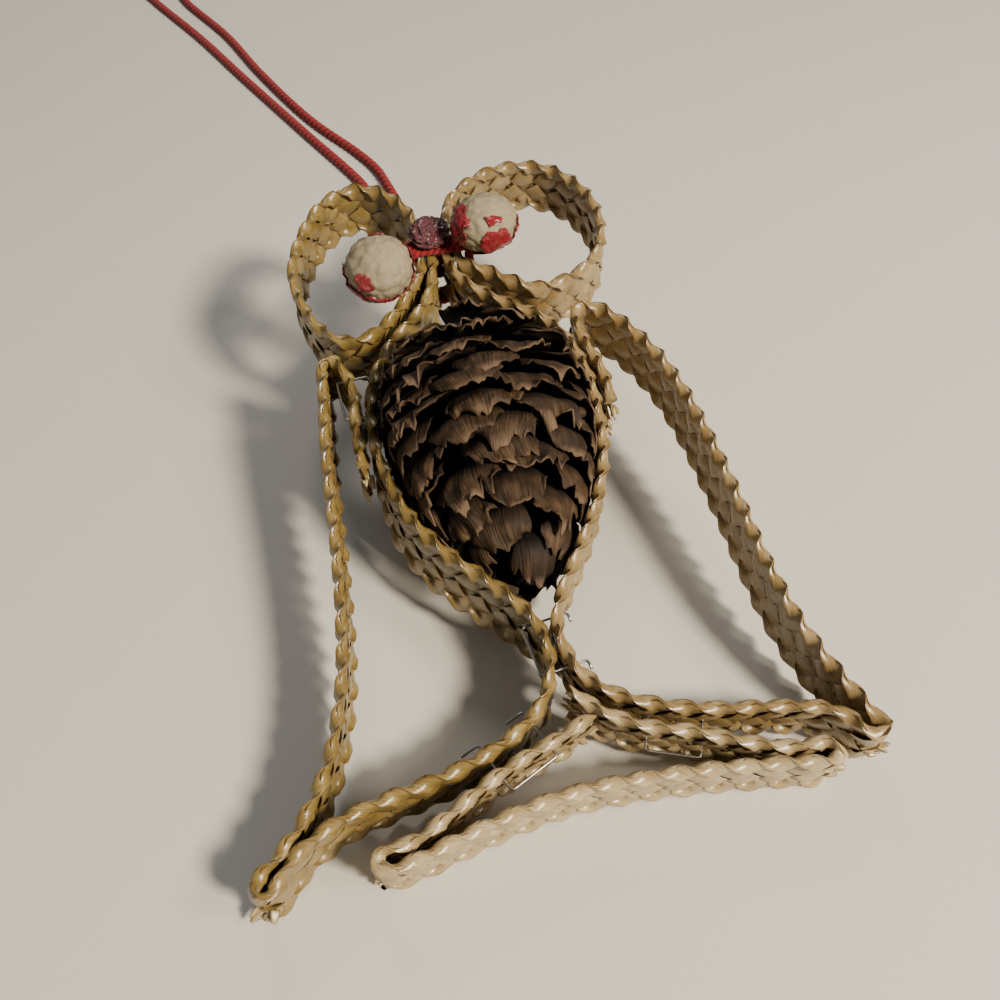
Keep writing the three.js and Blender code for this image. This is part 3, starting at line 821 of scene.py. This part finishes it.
points = []
raw, faces = ball(5)
for p in raw:
    fold_depth = abs(noise.noise(p * 2.3 + Vector((3, 1, 7)))) + 0.5 * abs(noise.noise(p * 5.1))
    lump = 1.02 - 0.42 * fold_depth
    height = max(p.z * lump, -0.75)
    points.append(figure @ (MM * Vector((
        GLUE[0] + p.x * lump * GLUE_SIZE[0] / 2, GLUE[1] + p.y * lump * GLUE_SIZE[1] / 2,
        GLUE_FOOT + (height + 0.75) * GLUE_SIZE[2] / 2))))
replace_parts(mesh_piece("glue_lump", points, faces, dried_glue), "glue_bead")


# ---- berries ----
# Two artificial berries: balls of off-white foam, crushed and wrinkled, that have lost most of their
# glossy red film. Rags of it stay at the sides and in a collar towards the glue.
BERRY_RADIUS = 7.1
berries = {"left_berry": (-13.2, 51.8, 13), "right_berry": (10.4, 58.2, 14.2)}

# Expanded foam with its skin gone: chalky, off-white, greyed by dust in fine pores.
tree, shader, foam = material_of("polystyrene foam, worn")
dirt = add(tree, "ShaderNodeTexNoise", {"Scale": 420, "Detail": 6})
chalk = add(tree, "ShaderNodeValToRGB", {"Fac": dirt.outputs["Fac"]})
chalk.color_ramp.elements[0].position = 0.28
chalk.color_ramp.elements[0].color = linear("#6f664c")
chalk.color_ramp.elements[1].position = 0.6
chalk.color_ramp.elements[1].color = linear("#a5997d")
chalk.color_ramp.elements.new(0.42).color = linear("#8b8066")
grains = add(tree, "ShaderNodeTexVoronoi", {"Scale": 900})
pores = add(tree, "ShaderNodeBump", {"Height": grains.outputs["Distance"], "Strength": 0.25,
                                     "Distance": 0.0003})
tree.links.new(chalk.outputs["Color"], shader.inputs["Base Color"])
tree.links.new(pores.outputs["Normal"], shader.inputs["Normal"])
shader.inputs["Roughness"].default_value = 0.55

# Dipped film: thin, glossy and clear red, darker where it is thick.
tree, shader, film = material_of("red film, glossy")
stain = add(tree, "ShaderNodeTexNoise", {"Scale": 260, "Detail": 4})
red = add(tree, "ShaderNodeValToRGB", {"Fac": stain.outputs["Fac"]})
red.color_ramp.elements[0].position = 0.35
red.color_ramp.elements[0].color = linear("#5a0f18")
red.color_ramp.elements[1].position = 0.65
red.color_ramp.elements[1].color = linear("#b0222f")
creases = add(tree, "ShaderNodeBump", {"Height": stain.outputs["Fac"], "Strength": 0.5,
                                       "Distance": 0.0005})
tree.links.new(red.outputs["Color"], shader.inputs["Base Color"])
tree.links.new(creases.outputs["Normal"], shader.inputs["Normal"])
shader.inputs["Roughness"].default_value = 0.25
shader.inputs["Coat Weight"].default_value = 0.6
shader.inputs["Coat Roughness"].default_value = 0.12


def crushed(p, seed):
    """How far out a point of the ball stands: wrinkles in a crackled pattern, and a few dents."""
    q = p * 2.6 + Vector((seed, 0, 0))
    q += 0.5 * Vector((noise.noise(q * 1.7), noise.noise(q * 1.7 + Vector((5, 0, 0))), 0))
    near = noise.voronoi(q, distance_metric="DISTANCE", exponent=2.5)[0]
    crease = min(1.0, (near[1] - near[0]) * 3.2)
    return 0.93 + 0.06 * crease + 0.03 * noise.noise(p * 1.4 + Vector((0, seed, 0)))


def rag(name, out_from, raw, faces, facing, spread, seed):
    """A torn rag of the film: the part of the ball that faces one way, curling off it at its edge."""
    facing = Vector(facing).normalized()
    angle = []
    for p in raw:
        torn = 0.24 * noise.noise(p * 3.1 + Vector((seed, 0, 0)))
        torn += 0.1 * noise.noise(p * 9 + Vector((0, seed, 0)))
        angle.append(p.angle(facing) + torn)
    kept = [face for face in faces if all(angle[k] < spread for k in face)]
    used = sorted({k for face in kept for k in face})
    place = {k: i for i, k in enumerate(used)}
    points = []
    for k in used:
        curl = max(0.0, angle[k] / spread - 0.6) / 0.4
        lift = 0.5 * (0.5 + noise.noise(raw[k] * 4 + Vector((0, 0, seed))))
        points.append(out_from(raw[k], 0.28 + lift * curl))
    kept = [tuple(place[k] for k in face) for face in kept]
    piece = mesh_piece(name, points, kept, film)
    skin = piece.modifiers.new("film_thickness", "SOLIDIFY")
    skin.thickness = 0.12 * MM
    skin.offset = 0


# Which way each rag faces, in the figure's own directions, and how many degrees it spreads.
rags = {
    "left_berry": [((-0.55, -0.8, 0.3), 19), ((-0.98, 0.1, -0.15), 20), ((0.1, 0.8, 0.55), 15),
                   ((0.92, 0.15, -0.25), 34), ((-0.2, -0.3, -1), 62)],
    "right_berry": [((-0.95, -0.16, 0.3), 40), ((0.12, -0.66, 0.7), 15), ((0.15, -0.95, 0.0), 30),
                    ((0.92, -0.3, -0.35), 30), ((0.1, 0.2, -1), 66)],
}
for name, middle in berries.items():
    seed = 3.1 if name == "left_berry" else 8.6
    centre = Vector(middle)
    flatten = Vector((1, 1, 0.94)) if name == "left_berry" else Vector((1, 0.88, 0.86))

    def placed(p, proud=0.0):
        out = BERRY_RADIUS * crushed(p, seed) + proud
        return figure @ (MM * (centre + p * flatten * out))

    raw, faces = ball(5)
    foam_ball = mesh_piece(name + "_foam", [placed(p) for p in raw], faces, foam)
    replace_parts(foam_ball, name)
    for i, (facing, spread) in enumerate(rags[name]):
        rag(f"{name}_film_{i + 1}", placed, raw, faces, facing, math.radians(spread), seed + i * 3.7)


# ---- frayed straw ends ----
# Split and broken straws stick out where the bands turn sharply, and at the ends of the two inner legs.
draw = random.Random(23)
# Where each tuft starts and which way it points, in the figure's plane, and how many splinters it has.
tufts = [((-53.2, -62.2, -4.6), (-0.9, -0.4, -0.1), 7), ((-51.5, -63.2, -3), (-0.4, -0.9, 0), 4),
         ((51.6, -60.4, -4), (0.8, -0.5, -0.1), 7), ((-34, -61.6, -4.4), (-0.9, -0.5, 0), 8),
         ((42.4, -61.9, -4), (0.9, -0.3, 0), 5), ((-24.2, 9.6, 1), (0.1, -1, 0), 6),
         ((26, 13.4, 0), (0, -1, 0), 6), ((3.6, -43, -1), (-0.8, 0.6, 0), 4),
         ((4.6, -46.9, -2), (0.9, 0.3, 0), 4)]
# Round a splinter's section: across in half widths, and out in millimetres.
sliver = ((-1, 0), (-0.4, 0.16), (0.4, 0.16), (1, 0), (0.4, -0.1), (-0.4, -0.1))
points, faces, along, across = [], [], [], []
for start, heading, count in tufts:
    for i in range(count):
        shift = (draw.uniform(-0.8, 0.8), draw.uniform(-0.8, 0.8), draw.uniform(-2.4, 3.4))
        root = Vector(start) + Vector(shift)
        sway = (draw.uniform(-0.35, 0.35), draw.uniform(-0.35, 0.35), draw.uniform(-0.4, 0.4))
        ahead = Vector(heading) + Vector(sway)
        ahead.normalize()
        side = ahead.cross(Vector((draw.uniform(-0.5, 0.5), draw.uniform(-0.5, 0.5), 1))).normalized()
        up = ahead.cross(side)
        reach = draw.uniform(1.2, 3.2)
        wide = draw.uniform(0.35, 0.95)
        bend = draw.uniform(-0.6, 0.6)
        first = len(points)
        for j in range(6):
            w = j / 5
            middle = root + ahead * reach * (w - 0.25) + up * bend * w * w
            taper = wide * (1 - 0.55 * w * w)
            for a, b in sliver:
                place = figure @ (MM * (middle + side * a * taper + up * b))
                place.z = max(place.z, 0.1 * MM)
                points.append(place)
                along.append((w * reach + i * 9, a * taper))
                across.append((abs(a), 0))
        faces.extend(tube_faces(6, len(sliver), first))
mesh_piece("straw_splinters", points, faces, pale, along, across)
